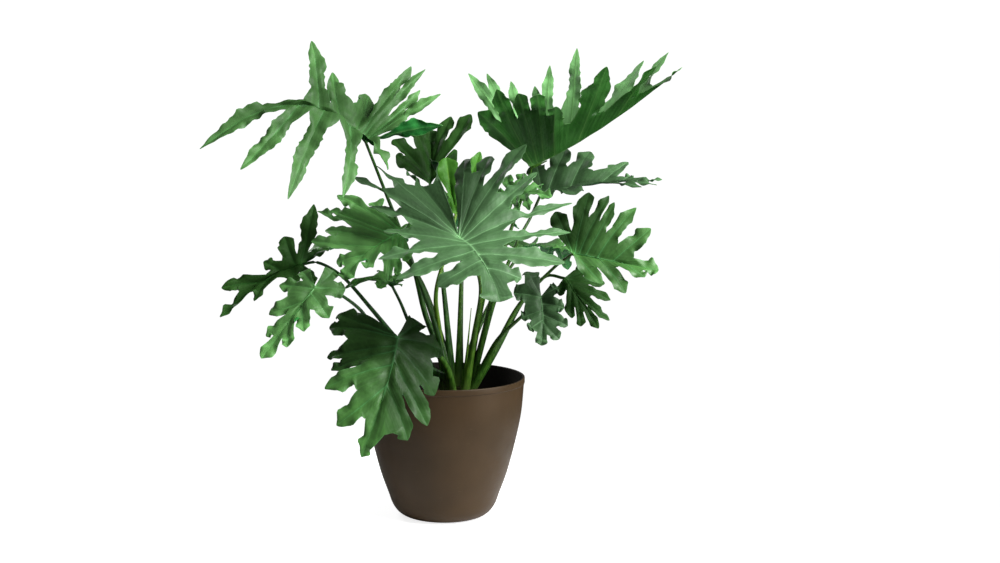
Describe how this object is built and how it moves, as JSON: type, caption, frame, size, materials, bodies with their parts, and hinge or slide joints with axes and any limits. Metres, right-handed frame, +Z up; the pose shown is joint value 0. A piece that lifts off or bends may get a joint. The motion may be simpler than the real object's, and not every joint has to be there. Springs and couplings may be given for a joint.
{
  "type": "potted philodendron",
  "caption": "Split-leaf philodendron with deeply cut, ruffled leaves on arching stalks, growing from soil in a plain tapered pot.",
  "frame": {"origin": "middle of the pot's flat underside", "axes": "+Z up along the pot's axis; -Y toward the front, where the large centre leaf faces; +X to the viewer's right"},
  "size_m": [0.8637, 0.6129, 0.8733],
  "materials": {
    "pot": "satin brown plastic",
    "soil": "dry dark potting mix",
    "stalks": "smooth green leaf stalks",
    "blade": "satin green leaf with pale veins"
  },
  "bodies": {
    "root": {"pot": "pot", "soil": "soil", "crown_and_stalks": "stalks", "blade_front_centre": "blade", "blade_upper_left": "blade", "blade_back_left": "blade", "blade_upper_right": "blade", "blade_right_high": "blade", "blade_right": "blade", "blade_right_low": "blade", "blade_right_under": "blade", "blade_left": "blade", "blade_left_low": "blade", "blade_front_low": "blade", "blade_left_centre": "blade", "blade_young": "blade", "blade_right_inner": "blade", "blade_left_inner": "blade", "blade_rear_left": "blade", "blade_rear_centre": "blade", "blade_rear_right": "blade"}
  },
  "joints": []
}
